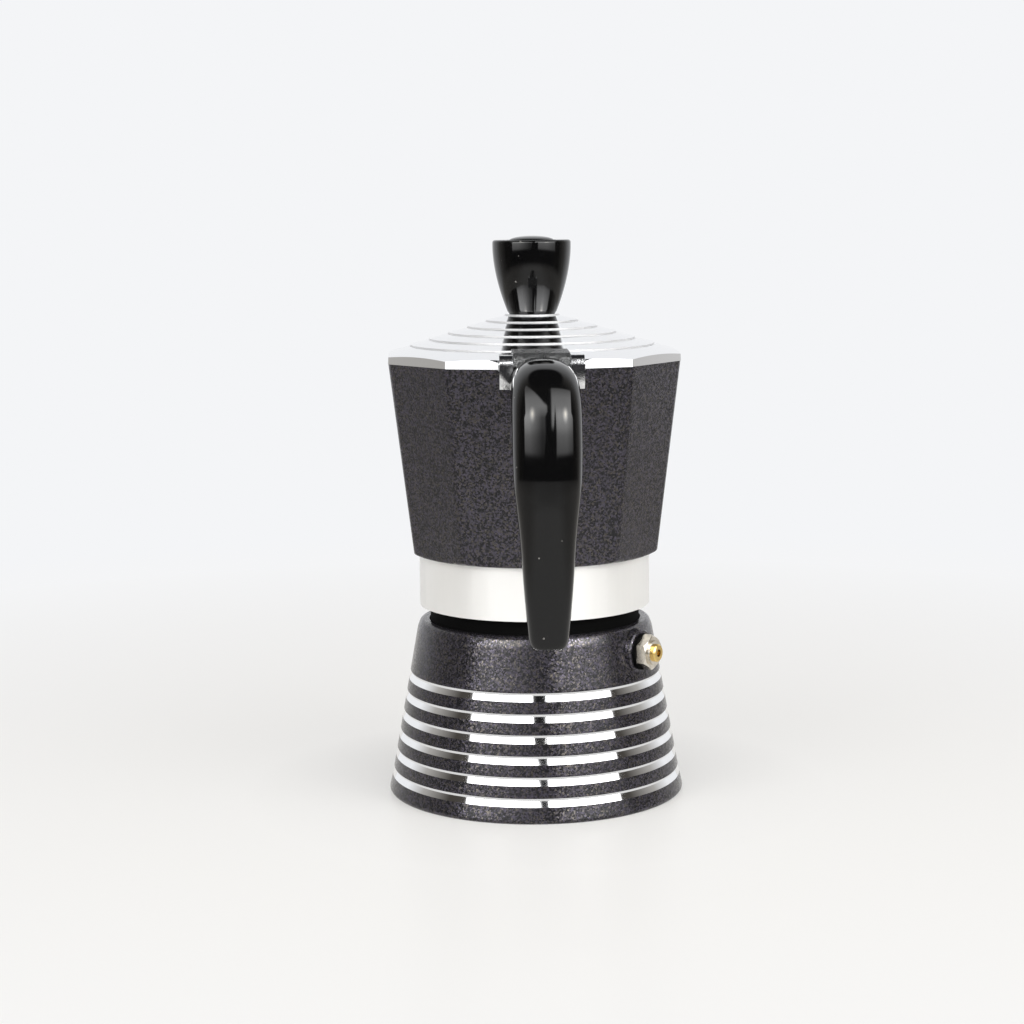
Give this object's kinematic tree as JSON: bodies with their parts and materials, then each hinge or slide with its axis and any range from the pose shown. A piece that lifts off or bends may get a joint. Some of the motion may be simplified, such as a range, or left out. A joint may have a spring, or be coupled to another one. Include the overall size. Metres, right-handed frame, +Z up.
{
  "type": "moka pot",
  "caption": "Stove-top moka pot: grooved round boiler, coffee basket, ten-sided collector with hinged lid, knob and side handle.",
  "frame": {"origin": "centre of the face that the pot stands on", "axes": "+Z up along the pot's axis, -Y towards the handle, +Y towards the spout, +X to the right when the handle faces the viewer"},
  "size_m": [0.085, 0.1342, 0.1592],
  "materials": {
    "boiler_paint": "charcoal sparkle paint with polished grooves",
    "collector_paint": "charcoal sparkle paint over a bare aluminium band",
    "polished_alu": "polished",
    "spun_alu": "satin, spun",
    "steel": "bright zinc plated",
    "nickel": "nickel plated",
    "brass": "turned",
    "gasket_rubber": "matte, off-white",
    "bakelite": "gloss black"
  },
  "bodies": {
    "boiler": {"boiler": "boiler_paint", "valve_washer": "gasket_rubber", "valve_body": "nickel", "valve_spring": "steel", "valve_bush": "brass"},
    "valve_plunger": {"valve_plunger": "brass"},
    "funnel": {"funnel_cup": "spun_alu", "funnel_tube": "spun_alu", "funnel_sieve": "spun_alu"},
    "gasket": {"gasket": "gasket_rubber"},
    "filter": {"filter_plate": "spun_alu"},
    "collector": {"collector": "collector_paint", "handle": "bakelite", "handle_screw": "steel", "hinge_pin": "steel"},
    "lid": {"lid": "polished_alu", "knob": "bakelite", "knob_insert": "brass", "knob_washer": "steel", "knob_screw": "steel"}
  },
  "joints": [
    {"name": "valve_lift", "type": "slide", "parent": "boiler", "child": "valve_plunger", "axis": [0.809, -0.5878, 0], "range_m": [0, 0.001], "stiffness_N_per_m": 1500, "springref_m": -0.002, "deforming": ["valve_spring"]},
    {"name": "collector_lift", "type": "slide", "parent": "boiler", "child": "gasket", "axis": [0, 0, 1], "range_m": [0, 0.13]},
    {"name": "thread_rise", "type": "slide", "parent": "gasket", "child": "filter", "axis": [0, 0, 1], "range_m": [0, 0.0106]},
    {"name": "unscrew_turn", "type": "hinge", "parent": "filter", "child": "collector", "pos_m": [0, 0, 0.0595], "axis": [0, 0, 1], "range_deg": [0, 1260]},
    {"name": "funnel_lift", "type": "slide", "parent": "boiler", "child": "funnel", "axis": [0, 0, 1], "range_m": [0, 0.066]},
    {"name": "lid_hinge", "type": "hinge", "parent": "collector", "child": "lid", "pos_m": [0, -0.0475, 0.1259], "axis": [1, 0, 0], "range_deg": [0, 105]}
  ],
  "couplings": [
    {"joint": "thread_rise", "follows": "unscrew_turn", "m_per_rad": 0.00047746},
    {"joint": "funnel_lift", "follows": "collector_lift", "ratio": 0.5}
  ]
}
